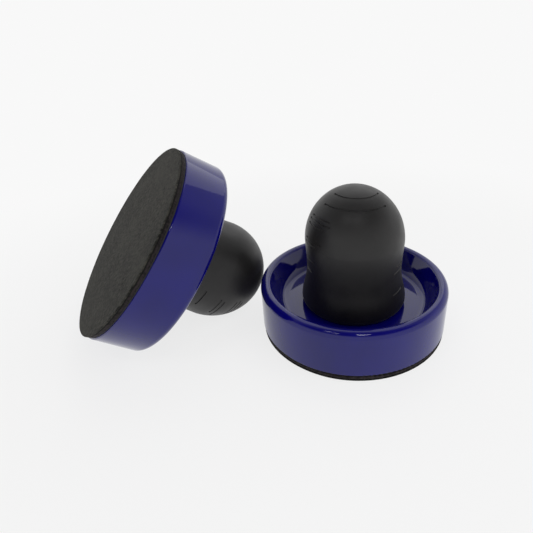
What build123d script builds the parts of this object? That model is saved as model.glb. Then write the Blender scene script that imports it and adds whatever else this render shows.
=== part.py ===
"""A pair of air hockey mallets: one stands on its felt pad, the other lies on its rim and crown."""

import os
from math import cos, hypot, radians, sin

from build123d import *

os.makedirs("parts", exist_ok=True)

# Felt pad and the adhesive that holds it
PAD_R = 47.0
PAD_T = 2.6
GLUE_R = 46.6
GLUE_T = 0.4
BASE_Z = PAD_T + GLUE_T  # underside of the dish and of the base plate

# Dish: outer wall, rounded rim, finger trough
WALL_FOOT_R = 47.4
FOOT_ROUND = 0.6
RIM_R = 48.0
RIM_ROUND = 3.0  # outer half of the rounded rim
RIM_CENTRE_R = RIM_R - RIM_ROUND
RIM_CENTRE_Z = 22.0
RIM_TOP_Z = RIM_CENTRE_Z + RIM_ROUND
INNER_ROUND = 2.2  # inner half of the rounded rim
SLOPE_LEAN = 25.0  # degrees the trough wall leans from upright
SLOPE_FALL = 6.0  # height of its straight stretch
FLOOR_Z = 12.0
FLOOR_R = 34.2  # where the trough floor starts to curve up
SHELL_T = 2.6
CAVITY_FOOT_R = 45.0
CAVITY_TOP_R = 45.4
CAVITY_TOP_Z = 19.9

# Dish: locating ring, ribs and screw posts
SPIGOT_R = 19.1
SPIGOT_BORE_R = 17.2
SPIGOT_H = 2.0
RIB_COUNT = 6
RIB_T = 1.8
RIB_START_R = 16.0
RIB_END_R = 45.3
RIB_TOP_Z = 11.0

# Base plate
PLATE_R = 44.7
PLATE_T = 2.0
PLATE_TOP_Z = BASE_Z + PLATE_T

# Screws
SCREW_R = 1.5
SCREW_GAP = 0.1
GRIP_SCREW_RING = 12.0
GRIP_SCREW_START = 90.0
GRIP_SCREW_TIP_Z = 25.0
PAN_R = 3.0
PAN_H = 2.2
BASE_SCREW_RING = 30.0
BASE_SCREW_START = 30.0
BASE_SCREW_TIP_Z = 9.8
SINK_R = 3.0
POST_R = 3.6
POST_HOLE_TOP_Z = 10.4
RECESS_L = 3.0
RECESS_W = 0.8
RECESS_D = 0.9

# Grip
CROWN_Z = 46.8  # height of the widest ring of the crown
CROWN_R = 25.1
CROWN_H = 27.1
QUARTER = 0.5523  # handle length, as a share of the radius, that bends a curve into a quarter round
SKIN_FOOT_R = 24.3
SKIN_SIDE = [(26.3, 13.6), (26.8, 16.0), (25.9, 21.0), (24.6, 26.5), (24.2, 32.0), (24.5, 39.0)]
SIDE_PULL = 0.3  # how far the end directions hold; more than this folds the curve back on itself
SKIN_T = 2.4
CORE_FOOT_R = 21.9
CORE_WAIST = (21.8, 30.0)
CORE_CROWN_R = CROWN_R - SKIN_T
CORE_CROWN_H = CROWN_H - SKIN_T
CORE_T = 2.6
BOSS_R = 3.8
BOSS_TOP_Z = 62.0
WEB_T = 2.2
WEB_START_R = 14.0
WEB_END_R = 20.8
WEB_Z = (16.0, 40.0)

# Fine lines engraved round the grip: height, start angle, sweep
GRIP_LINES = [
    (71.2, 200.0, 145.0),
    (67.2, 205.0, 120.0),
    (61.5, 195.0, 38.0),
    (59.6, 192.0, 44.0),
    (57.6, 194.0, 36.0),
    (50.5, 196.0, 32.0),
    (48.3, 194.0, 26.0),
    (39.0, 190.0, 24.0),
    (33.0, 188.0, 20.0),
    (38.0, 322.0, 16.0),
    (34.5, 318.0, 24.0),
    (24.0, 316.0, 22.0),
]
LINE_R = 0.4

# Where the second mallet lies: pad centre, heading of its grip and how far the grip dips
LYING_X = -108.8
LYING_Y = -10.2
LYING_HEADING = 27.0
LYING_DIP = 34.85  # the rim and the crown both reach the table at this dip
REST_GAP = 0.01


def crown_curve(radius, rise):
    """Quarter ellipse in the open profile, from the crown's widest ring up to the axis."""
    top = CROWN_Z + rise
    Bezier((radius, CROWN_Z), (radius, CROWN_Z + QUARTER * rise), (QUARTER * radius, top), (0, top))


def grip_radius(z):
    """Outer radius of the grip at a height on its side or crown."""
    if z >= CROWN_Z:
        return CROWN_R * (1 - ((z - CROWN_Z) / CROWN_H) ** 2) ** 0.5
    side = [(SKIN_FOOT_R, FLOOR_Z)] + SKIN_SIDE + [(CROWN_R, CROWN_Z)]
    for (r0, z0), (r1, z1) in zip(side, side[1:]):
        if z0 <= z <= z1:
            return r0 + (r1 - r0) * (z - z0) / (z1 - z0)
    return SKIN_FOOT_R


def cross_recess(z):
    """Cuts a cross into the screw heads at the current locations, up from height z."""
    for length, width in ((RECESS_L, RECESS_W), (RECESS_W, RECESS_L)):
        with Locations((0, 0, z + RECESS_D / 2)):
            Box(length, width, RECESS_D, mode=Mode.SUBTRACT)


def make_felt_pad():
    with BuildPart() as pad:
        with BuildSketch(Plane.XY):
            Circle(PAD_R)
        extrude(amount=PAD_T)
    return pad.part


def make_pad_adhesive():
    with BuildPart() as adhesive:
        with BuildSketch(Plane.XY.offset(PAD_T)):
            Circle(GLUE_R)
        extrude(amount=GLUE_T)
    return adhesive.part


def make_base_plate():
    with BuildPart() as plate:
        with BuildSketch(Plane.XY.offset(BASE_Z)):
            Circle(PLATE_R)
        extrude(amount=PLATE_T)
        chamfer(plate.edges().group_by(Axis.Z)[-1], length=0.4)
        with Locations(Plane(origin=(0, 0, BASE_Z), x_dir=(1, 0, 0), z_dir=(0, 0, -1))):
            with PolarLocations(BASE_SCREW_RING, 3, start_angle=-BASE_SCREW_START):
                CounterSinkHole(SCREW_R + SCREW_GAP, SINK_R, counter_sink_angle=90)
    return plate.part


def make_base_screws():
    head_h = SINK_R - SCREW_R
    with BuildPart() as screws:
        with PolarLocations(BASE_SCREW_RING, 3, start_angle=BASE_SCREW_START):
            with Locations((0, 0, BASE_Z + head_h / 2)):
                Cone(SINK_R, SCREW_R, head_h)
            with Locations((0, 0, (BASE_Z + BASE_SCREW_TIP_Z) / 2)):
                Cylinder(SCREW_R, BASE_SCREW_TIP_Z - BASE_Z)
            cross_recess(BASE_Z)
    return screws.part


def make_grip_screws():
    with BuildPart() as screws:
        with PolarLocations(GRIP_SCREW_RING, 3, start_angle=GRIP_SCREW_START):
            head_z = FLOOR_Z - SHELL_T - PAN_H
            with Locations((0, 0, head_z + PAN_H / 2)):
                Cylinder(PAN_R, PAN_H)
            with Locations((0, 0, (head_z + GRIP_SCREW_TIP_Z) / 2)):
                Cylinder(SCREW_R, GRIP_SCREW_TIP_Z - head_z)
        fillet(screws.edges().group_by(Axis.Z)[0], radius=0.7)
        with PolarLocations(GRIP_SCREW_RING, 3, start_angle=GRIP_SCREW_START):
            cross_recess(head_z)
    return screws.part


def make_dish():
    lean = radians(SLOPE_LEAN)
    down = (-sin(lean), -cos(lean))
    rim_in = (RIM_CENTRE_R - INNER_ROUND * cos(lean), RIM_TOP_Z - INNER_ROUND * (1 - sin(lean)))
    slope_end = (rim_in[0] + down[0] * SLOPE_FALL, rim_in[1] + down[1] * SLOPE_FALL)
    under_end = (slope_end[0] + cos(lean) * SHELL_T, slope_end[1] - sin(lean) * SHELL_T)
    under_rise = (CAVITY_TOP_Z - under_end[1]) / cos(lean)
    under_top = (under_end[0] + sin(lean) * under_rise, CAVITY_TOP_Z)
    with BuildPart() as dish:
        with BuildSketch(Plane.XZ):
            with BuildLine():
                foot = Line((CAVITY_FOOT_R, BASE_Z), (WALL_FOOT_R - FOOT_ROUND, BASE_Z))
                edge = RadiusArc(foot @ 1, (WALL_FOOT_R, BASE_Z + FOOT_ROUND), -FOOT_ROUND)
                wall = Line(edge @ 1, (RIM_R, RIM_CENTRE_Z))
                rim = CenterArc((RIM_CENTRE_R, RIM_CENTRE_Z), RIM_ROUND, 0, 90)
                lip = RadiusArc(rim @ 1, rim_in, -INNER_ROUND)
                slope = Line(lip @ 1, slope_end)
                bowl = Spline(slope @ 1, (FLOOR_R, FLOOR_Z), tangents=(down, (-1, 0)))
                floor = Line(bowl @ 1, (SPIGOT_R, FLOOR_Z))
                step = Polyline(
                    floor @ 1,
                    (SPIGOT_R, FLOOR_Z + SPIGOT_H),
                    (SPIGOT_BORE_R, FLOOR_Z + SPIGOT_H),
                    (SPIGOT_BORE_R, FLOOR_Z),
                    (0, FLOOR_Z),
                    (0, FLOOR_Z - SHELL_T),
                    (FLOOR_R - SHELL_T / 2, FLOOR_Z - SHELL_T),
                )
                under = Spline(step @ 1, under_end, tangents=((1, 0), (-down[0], -down[1])))
                Polyline(under @ 1, under_top, (CAVITY_TOP_R, CAVITY_TOP_Z), foot @ 0)
            make_face()
        revolve(axis=Axis.Z)
        with PolarLocations(0, RIB_COUNT):
            with Locations(((RIB_START_R + RIB_END_R) / 2, 0, (PLATE_TOP_Z + RIB_TOP_Z) / 2)):
                Box(RIB_END_R - RIB_START_R, RIB_T, RIB_TOP_Z - PLATE_TOP_Z)
        with BuildSketch(Plane.XY.offset(PLATE_TOP_Z)):
            with PolarLocations(BASE_SCREW_RING, 3, start_angle=BASE_SCREW_START):
                Circle(POST_R)
        extrude(amount=RIB_TOP_Z - PLATE_TOP_Z)
        with BuildSketch(Plane.XY.offset(PLATE_TOP_Z)):
            with PolarLocations(BASE_SCREW_RING, 3, start_angle=BASE_SCREW_START):
                Circle(SCREW_R + SCREW_GAP)
        extrude(amount=POST_HOLE_TOP_Z - PLATE_TOP_Z, mode=Mode.SUBTRACT)
        with BuildSketch(Plane.XY.offset(FLOOR_Z)):
            with PolarLocations(GRIP_SCREW_RING, 3, start_angle=GRIP_SCREW_START):
                Circle(SCREW_R + 3 * SCREW_GAP)
        extrude(amount=-SHELL_T, mode=Mode.SUBTRACT)
    return dish.part


def make_grip_core():
    inner_r = CORE_CROWN_R - CORE_T
    inner_h = CORE_CROWN_H - CORE_T
    with BuildPart() as core:
        with BuildSketch(Plane.XZ):
            with BuildLine():
                side = Spline(
                    (CORE_FOOT_R, FLOOR_Z), CORE_WAIST, (CORE_CROWN_R, CROWN_Z), tangents=((0, 1), (0, 1))
                )
                crown_curve(CORE_CROWN_R, CORE_CROWN_H)
                Line((0, CROWN_Z + CORE_CROWN_H), (0, CROWN_Z + inner_h))
                crown_curve(inner_r, inner_h)
                inside = Spline(
                    (inner_r, CROWN_Z),
                    (CORE_WAIST[0] - CORE_T, CORE_WAIST[1]),
                    (CORE_FOOT_R - CORE_T, FLOOR_Z),
                    tangents=((0, -1), (0, -1)),
                )
                Line(inside @ 1, side @ 0)
            make_face()
        revolve(axis=Axis.Z)
        with BuildSketch(Plane.XY.offset(FLOOR_Z)):
            with PolarLocations(GRIP_SCREW_RING, 3, start_angle=GRIP_SCREW_START):
                Circle(BOSS_R)
        extrude(amount=BOSS_TOP_Z - FLOOR_Z)
        with PolarLocations(0, 3, start_angle=GRIP_SCREW_START):
            with Locations(((WEB_START_R + WEB_END_R) / 2, 0, (WEB_Z[0] + WEB_Z[1]) / 2)):
                Box(WEB_END_R - WEB_START_R, WEB_T, WEB_Z[1] - WEB_Z[0])
        with BuildSketch(Plane.XY.offset(FLOOR_Z)):
            with PolarLocations(GRIP_SCREW_RING, 3, start_angle=GRIP_SCREW_START):
                Circle(SCREW_R + SCREW_GAP)
        extrude(amount=GRIP_SCREW_TIP_Z + 1 - FLOOR_Z, mode=Mode.SUBTRACT)
    return core.part


def make_grip_skin():
    with BuildPart() as skin:
        with BuildSketch(Plane.XZ):
            with BuildLine():
                side = Spline(
                    (SKIN_FOOT_R, FLOOR_Z),
                    *SKIN_SIDE,
                    (CROWN_R, CROWN_Z),
                    tangents=((1, 0.3), (0, 1)),
                    tangent_scalars=(SIDE_PULL, SIDE_PULL),
                )
                crown_curve(CROWN_R, CROWN_H)
                Line((0, CROWN_Z + CROWN_H), (0, CROWN_Z + CORE_CROWN_H))
                crown_curve(CORE_CROWN_R, CORE_CROWN_H)
                inside = Spline(
                    (CORE_FOOT_R, FLOOR_Z), CORE_WAIST, (CORE_CROWN_R, CROWN_Z), tangents=((0, 1), (0, 1))
                )
                Line(inside @ 0, side @ 0)
            make_face()
        revolve(axis=Axis.Z)
        for height, start, sweep in GRIP_LINES:
            turn = radians(start)
            outward = (cos(turn), sin(turn), 0)
            with BuildSketch(Plane(origin=(0, 0, 0), x_dir=outward, z_dir=(sin(turn), -cos(turn), 0))):
                with Locations((grip_radius(height), height)):
                    Circle(LINE_R)
            revolve(axis=Axis.Z, revolution_arc=sweep, mode=Mode.SUBTRACT)
    return skin.part


def lying_place():
    """Location of the second mallet, resting on its rim and crown."""
    dip = radians(LYING_DIP)
    heading = radians(LYING_HEADING)
    along = (cos(dip) * cos(heading), cos(dip) * sin(heading), -sin(dip))
    rim_reach = RIM_CENTRE_R * cos(dip) + RIM_CENTRE_Z * sin(dip) + RIM_ROUND
    crown_reach = CROWN_Z * sin(dip) + hypot(CROWN_R * cos(dip), CROWN_H * sin(dip))
    height = max(rim_reach, crown_reach) + REST_GAP
    across = (-sin(heading), cos(heading), 0)
    return Plane(origin=(LYING_X, LYING_Y, height), x_dir=across, z_dir=along).location


PIECES = {
    "felt_pad": make_felt_pad(),
    "pad_adhesive": make_pad_adhesive(),
    "base_plate": make_base_plate(),
    "base_screws": make_base_screws(),
    "dish": make_dish(),
    "grip_screws": make_grip_screws(),
    "grip_core": make_grip_core(),
    "grip_skin": make_grip_skin(),
}
PLACES = {"standing": Location(), "lying": lying_place()}

for mallet, place in PLACES.items():
    for piece, shape in PIECES.items():
        placed = place * shape
        placed.label = f"{mallet}_{piece}"
        export_step(placed, f"parts/{placed.label}.step")
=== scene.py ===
import math

import bpy
from mathutils import Matrix, Vector, noise


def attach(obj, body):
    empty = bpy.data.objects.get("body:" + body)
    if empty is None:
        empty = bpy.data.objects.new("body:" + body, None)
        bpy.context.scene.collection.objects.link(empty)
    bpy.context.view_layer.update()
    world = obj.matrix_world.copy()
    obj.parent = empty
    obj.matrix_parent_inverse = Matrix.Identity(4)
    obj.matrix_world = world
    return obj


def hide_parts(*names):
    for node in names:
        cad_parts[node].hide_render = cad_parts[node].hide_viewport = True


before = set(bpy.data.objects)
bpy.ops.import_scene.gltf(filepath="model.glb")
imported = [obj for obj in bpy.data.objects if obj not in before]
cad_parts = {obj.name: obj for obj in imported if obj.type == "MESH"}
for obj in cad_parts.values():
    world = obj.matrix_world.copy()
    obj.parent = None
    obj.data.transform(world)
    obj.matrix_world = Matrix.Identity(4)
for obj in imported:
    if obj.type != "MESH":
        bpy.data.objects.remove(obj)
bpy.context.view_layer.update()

MM = 0.001

# Thickness of the felt pad, as in the CAD model, in mm
PAD_T = 2.6

# The lying mallet's place, as in the CAD model
LYING_PAD_XY = (-108.8 * MM, -10.2 * MM)
LYING_HEADING = math.radians(27.0)
LYING_DIP = math.radians(34.85)
LYING_PAD_Z = 52.525 * MM


# ---------------------------------------------------------------- camera

CAMERA_AT = (-0.0138, -0.1921, 0.1379)
CAMERA_PITCH = math.radians(18.62)


def add_camera():
    data = bpy.data.cameras.new("camera")
    data.sensor_width = 36.0
    data.lens = 28.27
    data.shift_x = -0.114
    data.shift_y = -0.149
    data.clip_start = 0.01
    data.clip_end = 50.0
    camera = bpy.data.objects.new("camera", data)
    bpy.context.scene.collection.objects.link(camera)
    forward = Vector((0.0, math.cos(CAMERA_PITCH), -math.sin(CAMERA_PITCH)))
    camera.location = CAMERA_AT
    camera.rotation_euler = forward.to_track_quat("-Z", "Y").to_euler()
    bpy.context.scene.camera = camera


# ---------------------------------------------------------------- node helpers

class Nodes:
    """A material's node tree with short ways to add and join nodes."""

    def __init__(self, name):
        self.material = bpy.data.materials.new(name)
        self.material.use_nodes = True
        self.tree = self.material.node_tree
        self.shader = self.tree.nodes["Principled BSDF"]
        self.place = self.add("ShaderNodeTexCoord").outputs["Object"]

    def add(self, kind, **settings):
        node = self.tree.nodes.new(kind)
        for key, value in settings.items():
            setattr(node, key, value)
        return node

    def join(self, source, target):
        self.tree.links.new(source, target)

    def stretch(self, scale, angle=(0.0, 0.0, 0.0)):
        node = self.add("ShaderNodeMapping")
        node.inputs["Scale"].default_value = scale
        node.inputs["Rotation"].default_value = angle
        self.join(self.place, node.inputs["Vector"])
        return node.outputs["Vector"]

    def noise(self, scale, detail=3.0, rough=0.5, vector=None):
        node = self.add("ShaderNodeTexNoise")
        node.inputs["Scale"].default_value = scale
        node.inputs["Detail"].default_value = detail
        node.inputs["Roughness"].default_value = rough
        self.join(vector or self.place, node.inputs["Vector"])
        return node.outputs["Fac"]

    def span(self, value, low, high, new_low, new_high):
        node = self.add("ShaderNodeMapRange")
        node.inputs["From Min"].default_value = low
        node.inputs["From Max"].default_value = high
        node.inputs["To Min"].default_value = new_low
        node.inputs["To Max"].default_value = new_high
        self.join(value, node.inputs["Value"])
        return node.outputs["Result"]

    def math(self, operation, first, second):
        node = self.add("ShaderNodeMath", operation=operation)
        for socket, value in zip(node.inputs, (first, second)):
            if isinstance(value, (int, float)):
                socket.default_value = value
            else:
                self.join(value, socket)
        return node.outputs["Value"]

    def colours(self, value, stops):
        node = self.add("ShaderNodeValToRGB")
        ramp = node.color_ramp
        while len(ramp.elements) < len(stops):
            ramp.elements.new(0.5)
        for element, (place, colour) in zip(ramp.elements, stops):
            element.position = place
            element.color = (*colour, 1.0)
        self.join(value, node.inputs["Fac"])
        return node.outputs["Color"]

    def bump(self, height, distance, strength=1.0, under=None):
        node = self.add("ShaderNodeBump")
        node.inputs["Distance"].default_value = distance
        node.inputs["Strength"].default_value = strength
        self.join(height, node.inputs["Height"])
        if under is not None:
            self.join(under, node.inputs["Normal"])
        return node.outputs["Normal"]

    def finish(self, colour=None, roughness=None, normal=None, **sockets):
        if colour is not None:
            self.join(colour, self.shader.inputs["Base Color"])
        if roughness is not None:
            self.join(roughness, self.shader.inputs["Roughness"])
        if normal is not None:
            self.join(normal, self.shader.inputs["Normal"])
        for key, value in sockets.items():
            socket = key.replace("_", " ").title().replace("Ior", "IOR")
            self.shader.inputs[socket].default_value = value
        return self.material


# ---------------------------------------------------------------- materials

def gloss_blue():
    n = Nodes("gloss_blue_plastic")
    cloud = n.noise(45.0, 2.0)
    colour = n.colours(cloud, [(0.3, (0.0016, 0.0011, 0.098)), (0.7, (0.0026, 0.0018, 0.126))])
    hairline = n.noise(60.0, 4.0, 0.6, n.stretch((1.0, 1.0, 26.0), (0.3, 0.2, 0.0)))
    smudge = n.noise(90.0, 3.0)
    polish = n.span(smudge, 0.35, 0.75, 0.045, 0.085)
    scuffs = n.span(hairline, 0.62, 0.72, 0.0, 0.05)
    roughness = n.math("ADD", polish, scuffs)
    ripple = n.bump(n.noise(130.0, 1.0), 0.00005, 0.5)
    normal = n.bump(hairline, 0.000004, 0.4, ripple)
    return n.finish(colour, roughness, normal, ior=1.47)


def soft_touch():
    n = Nodes("soft_touch_rubber")
    cloud = n.noise(70.0, 4.0, 0.6)
    colour = n.colours(cloud, [(0.3, (0.0028, 0.0024, 0.0026)), (0.7, (0.0052, 0.0045, 0.0047))])
    handled = n.noise(110.0, 3.0)
    roughness = n.span(handled, 0.3, 0.7, 0.40, 0.52)
    grain = n.bump(n.noise(2600.0, 2.0), 0.00003, 0.5)
    normal = n.bump(n.noise(240.0, 2.0), 0.00008, 0.25, grain)
    return n.finish(colour, roughness, normal, sheen_weight=0.05, sheen_roughness=0.4, ior=1.5)


def fibres(n, scale):
    """Height of short fibres that run four ways through the felt."""
    mat = None
    for turn in (0.0, 0.8, 1.57, 2.4):
        strand = n.noise(scale, 2.0, 0.5, n.stretch((1.0, 4.5, 1.6), (0.35 * turn, 0.2, turn)))
        strand = n.span(strand, 0.45, 0.7, 0.0, 1.0)
        mat = strand if mat is None else n.math("MAXIMUM", mat, strand)
    return mat


def felt(name, dark, light):
    n = Nodes(name)
    mat = fibres(n, 420.0)
    speck = n.noise(640.0, 3.0, 0.75)
    patch = n.noise(38.0, 3.0)  # slow change of tone across the pad
    tone = n.math("ADD", n.math("MULTIPLY", mat, 0.45), n.math("MULTIPLY", speck, 0.35))
    tone = n.math("ADD", tone, n.math("MULTIPLY", patch, 0.3))
    colour = n.colours(tone, [(0.38, dark), (0.74, light)])
    normal = n.bump(mat, 0.00018, 0.8, n.bump(speck, 0.00012, 0.6))
    n.shader.inputs["Roughness"].default_value = 0.95
    return n.finish(colour, None, normal, sheen_weight=0.04, sheen_roughness=0.5, specular_ior_level=0.2)


def moulded(name, dark, light, roughness=(0.45, 0.6)):
    n = Nodes(name)
    cloud = n.noise(120.0, 3.0)
    colour = n.colours(cloud, [(0.35, dark), (0.65, light)])
    normal = n.bump(n.noise(1800.0, 2.0), 0.00002, 0.5)
    return n.finish(colour, n.span(cloud, 0.3, 0.7, *roughness), normal)


def zinc():
    n = Nodes("zinc_screw")
    brushed = n.noise(900.0, 3.0, 0.6, n.stretch((1.0, 1.0, 8.0)))
    colour = n.colours(brushed, [(0.3, (0.40, 0.41, 0.43)), (0.7, (0.62, 0.62, 0.63))])
    normal = n.bump(brushed, 0.00001, 0.5)
    return n.finish(colour, n.span(brushed, 0.3, 0.7, 0.22, 0.4), normal, metallic=1.0)


# ---------------------------------------------------------------- geometry

def lying_matrix():
    """Places a mallet drawn upright at the origin where the second mallet lies."""
    dip, heading = LYING_DIP, LYING_HEADING
    along = Vector((math.cos(dip) * math.cos(heading), math.cos(dip) * math.sin(heading), -math.sin(dip)))
    across = Vector((-math.sin(heading), math.cos(heading), 0.0))
    third = along.cross(across)
    turn = Matrix((across, third, along)).transposed().to_4x4()
    return Matrix.Translation((*LYING_PAD_XY, LYING_PAD_Z)) @ turn


def new_piece(name, verts, faces, place, materials, face_slots):
    mesh = bpy.data.meshes.new(name)
    mesh.from_pydata([place @ Vector(v) for v in verts], [], faces)
    for material in materials:
        mesh.materials.append(material)
    mesh.polygons.foreach_set("material_index", face_slots)
    mesh.polygons.foreach_set("use_smooth", [True] * len(mesh.polygons))
    mesh.update()
    piece = bpy.data.objects.new(name, mesh)
    bpy.context.scene.collection.objects.link(piece)
    return piece


# Places of the felt materials on a pad: the side and line slots take darker felt copies, which are painted
# shade
FACE = 0
SHADED_SIDE = 1
SHADED_LINE = 2

# Section of the pad's edge, from its underside up: radius and height in mm, then the material.
# The dip in radius is the groove that runs round the pad, and the near-black felt in it is painted shade.
PAD_EDGE = [
    (46.45, 0.03, FACE), (46.75, 0.12, FACE), (46.95, 0.32, FACE), (46.98, 0.58, FACE),
    (46.80, 0.80, SHADED_LINE), (46.62, 0.95, SHADED_LINE), (46.80, 1.10, SHADED_LINE),
    (46.92, 1.30, SHADED_SIDE), (46.95, 1.70, SHADED_SIDE), (46.93, 2.10, SHADED_SIDE), (46.85, 2.42, SHADED_SIDE), (46.55, 2.58, SHADED_SIDE),
]
PAD_TOP_RADII = (45.5, 34.0, 18.0)
PAD_FACE_R = 46.2
PAD_FACE_RINGS = 44
PAD_TURNS = 240
UNEVEN_FROM_R = 46.0
NAP_BELOW_Z = 0.2


def felt_pad(name, place, seed, materials):
    """Felt disc with its underside at height 0, a napped face and an uneven edge."""
    section = [(PAD_FACE_R * (i / PAD_FACE_RINGS) ** 0.9, 0.0, FACE) for i in range(1, PAD_FACE_RINGS + 1)]
    section += PAD_EDGE
    section += [(radius, PAD_T, SHADED_SIDE) for radius in PAD_TOP_RADII]
    verts, faces, slots = [(0.0, 0.0, 0.0)], [], []
    for radius, height, _ in section:
        for k in range(PAD_TURNS):
            angle = 2 * math.pi * k / PAD_TURNS
            spot = Vector((math.cos(angle), math.sin(angle), 0.0))
            r, z = radius, height
            if radius > UNEVEN_FROM_R and height < PAD_T:
                slow = noise.noise(spot * 2.2 + Vector((seed, 0.0, height * 0.1)))
                quick = noise.noise(spot * 34.0 + Vector((seed, 3.0, height * 1.5)))
                r += 0.16 * slow - 0.07 * abs(quick)
            if height < NAP_BELOW_Z:
                here = spot * radius
                hump = noise.noise(here * 0.09 + Vector((seed, 5.0, 0.0)))
                nap = noise.noise(here * 1.1 + Vector((seed, 9.0, 0.0)))
                z += 0.03 + 0.05 * abs(hump) + 0.045 * abs(nap)
            verts.append((r * spot.x * MM, r * spot.y * MM, z * MM))
    verts.append((0.0, 0.0, PAD_T * MM))
    last = len(verts) - 1
    for k in range(PAD_TURNS):
        after = (k + 1) % PAD_TURNS
        faces.append((0, 1 + after, 1 + k))
        slots.append(FACE)
        for ring in range(len(section) - 1):
            a = 1 + ring * PAD_TURNS
            b = a + PAD_TURNS
            faces.append((a + k, a + after, b + after, b + k))
            slots.append(section[ring + 1][2])
        a = 1 + (len(section) - 1) * PAD_TURNS
        faces.append((a + k, a + after, last))
        slots.append(SHADED_SIDE)
    return new_piece(name, verts, faces, place, materials, slots)


# ---------------------------------------------------------------- the pieces

add_camera()

felt_face = felt("felt_face", (0.0016, 0.0015, 0.0012), (0.047, 0.045, 0.037))
# Darker copy of the felt for the pad's side wall: painted shade
felt_side_painted_shade = felt("felt_side_painted_shade", (0.0040, 0.0033, 0.0034), (0.024, 0.019, 0.020))
# Near-black copy of the felt for the groove round the pad: painted shade in the recess
felt_line_painted_shade = felt("felt_line_painted_shade", (0.0015, 0.0015, 0.0014), (0.006, 0.006, 0.0055))
finishes = {
    "dish": gloss_blue(),
    "grip_skin": soft_touch(),
    "pad_adhesive": moulded("adhesive_film", (0.012, 0.011, 0.011), (0.02, 0.019, 0.018), (0.6, 0.8)),
    "base_plate": moulded("black_plastic", (0.012, 0.012, 0.013), (0.022, 0.022, 0.024)),
    "grip_core": moulded("core_plastic", (0.015, 0.015, 0.015), (0.028, 0.028, 0.028)),
    "base_screws": zinc(),
    "grip_screws": zinc(),
}
for node_name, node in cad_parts.items():
    kind = node_name.split("_", 1)[1]
    if kind in finishes:
        node.data.materials.clear()
        node.data.materials.append(finishes[kind])

for mallet, place, seed in (("standing", Matrix.Identity(4), 1.7), ("lying", lying_matrix(), 6.3)):
    pad = felt_pad(f"{mallet}_felt", place, seed, [felt_face, felt_side_painted_shade, felt_line_painted_shade])
    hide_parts(f"{mallet}_felt_pad")
    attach(pad, f"{mallet}_mallet")


# ---------------------------------------------------------------- floor, light

# Brightness of the backdrop, which the floor fades into
PALE = 0.94
FLOOR_REACH = 6.0
FLOOR_DROP = 0.0001


def add_floor():
    """White floor, part lit and part glowing near the mallets, and all glow further out."""
    mesh = bpy.data.meshes.new("floor")
    corners = [(x * FLOOR_REACH, y * FLOOR_REACH, 0) for x, y in ((-1, -1), (1, -1), (1, 1), (-1, 1))]
    mesh.from_pydata(corners, [], [(0, 1, 2, 3)])
    floor = bpy.data.objects.new("floor", mesh)
    floor.location.z = -FLOOR_DROP
    bpy.context.scene.collection.objects.link(floor)
    n = Nodes("floor_white")
    n.shader.inputs["Base Color"].default_value = (0.86, 0.86, 0.86, 1.0)
    n.shader.inputs["Roughness"].default_value = 0.9
    n.shader.inputs["Specular IOR Level"].default_value = 0.1
    grain = n.bump(n.noise(700.0, 2.0), 0.00001, 0.3)
    n.join(grain, n.shader.inputs["Normal"])
    glow = n.add("ShaderNodeEmission")
    glow.inputs["Color"].default_value = (PALE, PALE, PALE, 1.0)
    reach = n.add("ShaderNodeVectorMath", operation="LENGTH")
    n.join(n.place, reach.inputs[0])
    far = n.add("ShaderNodeMapRange", interpolation_type="SMOOTHSTEP")
    far.inputs["From Min"].default_value = 0.12
    far.inputs["From Max"].default_value = 0.34
    far.inputs["To Min"].default_value = 0.82
    n.join(reach.outputs["Value"], far.inputs["Value"])
    mix = n.add("ShaderNodeMixShader")
    n.join(far.outputs["Result"], mix.inputs[0])
    n.join(n.shader.outputs["BSDF"], mix.inputs[1])
    n.join(glow.outputs["Emission"], mix.inputs[2])
    n.join(mix.outputs["Shader"], n.tree.nodes["Material Output"].inputs["Surface"])
    mesh.materials.append(n.material)


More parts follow.
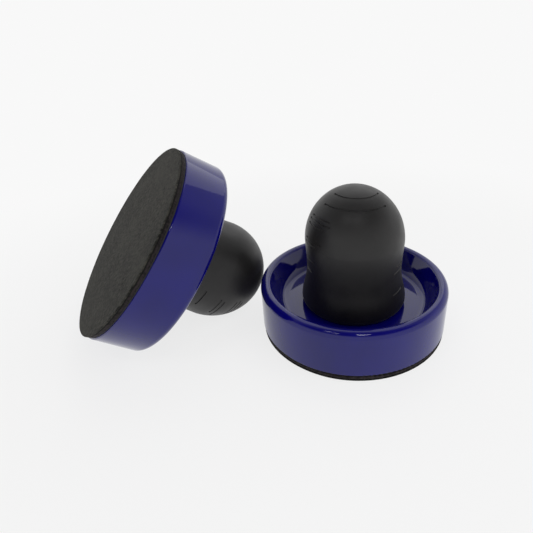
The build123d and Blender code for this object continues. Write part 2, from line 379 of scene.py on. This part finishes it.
def add_world():
    """Pale all round at the horizon, and darker overhead: most of all on the camera's side."""
    world = bpy.data.worlds.new("studio")
    bpy.context.scene.world = world
    world.use_nodes = True
    tree = world.node_tree
    background = tree.nodes["Background"]
    coordinates = tree.nodes.new("ShaderNodeTexCoord")
    split = tree.nodes.new("ShaderNodeSeparateXYZ")
    tree.links.new(coordinates.outputs["Generated"], split.inputs["Vector"])

    def ramp(value, low, high, start, end):
        node = tree.nodes.new("ShaderNodeMapRange")
        node.interpolation_type = "SMOOTHSTEP"
        for key, number in (("From Min", low), ("From Max", high), ("To Min", start), ("To Max", end)):
            node.inputs[key].default_value = number
        tree.links.new(value, node.inputs["Value"])
        return node.outputs["Result"]

    behind = ramp(split.outputs["Z"], 0.16, 0.9, PALE, 0.40)
    ahead = ramp(split.outputs["Z"], 0.30, 0.66, PALE, 0.05)
    side = ramp(split.outputs["Y"], -0.35, 0.25, 0.0, 1.0)
    mix = tree.nodes.new("ShaderNodeMix")
    tree.links.new(side, mix.inputs["Factor"])
    tree.links.new(ahead, mix.inputs["A"])
    tree.links.new(behind, mix.inputs["B"])
    tree.links.new(mix.outputs["Result"], background.inputs["Color"])


def add_area(name, spot, target, size, power, tall=None, mirrored=True):
    """Area light that faces a target. One that isn't mirrored doesn't show in the gloss."""
    data = bpy.data.lights.new(name, "AREA")
    data.energy = power
    data.shape = "RECTANGLE"
    data.size = size
    data.size_y = tall or size
    lamp = bpy.data.objects.new(name, data)
    lamp.location = spot
    lamp.rotation_euler = (Vector(target) - Vector(spot)).to_track_quat("-Z", "Y").to_euler()
    lamp.visible_glossy = mirrored
    bpy.context.scene.collection.objects.link(lamp)


add_floor()
add_world()
add_area("key", (0.56, -0.36, 0.60), (-0.03, 0.0, 0.02), 0.75, 3.2, mirrored=False)
add_area("fill", (-0.5, -0.5, 0.7), (-0.06, 0.0, 0.03), 0.4, 0.7, mirrored=False)
add_area("back", (0.02, 0.44, 0.62), (-0.02, 0.0, 0.03), 0.80, 1.5)
add_area("bar_left", (-0.22, -0.34, 0.56), (0.0, -0.03, 0.02), 0.15, 0.20, 0.010)
add_area("bar_right", (0.07, -0.38, 0.56), (0.0, -0.03, 0.02), 0.13, 0.24, 0.012)
bpy.context.scene.view_settings.view_transform = "Standard"
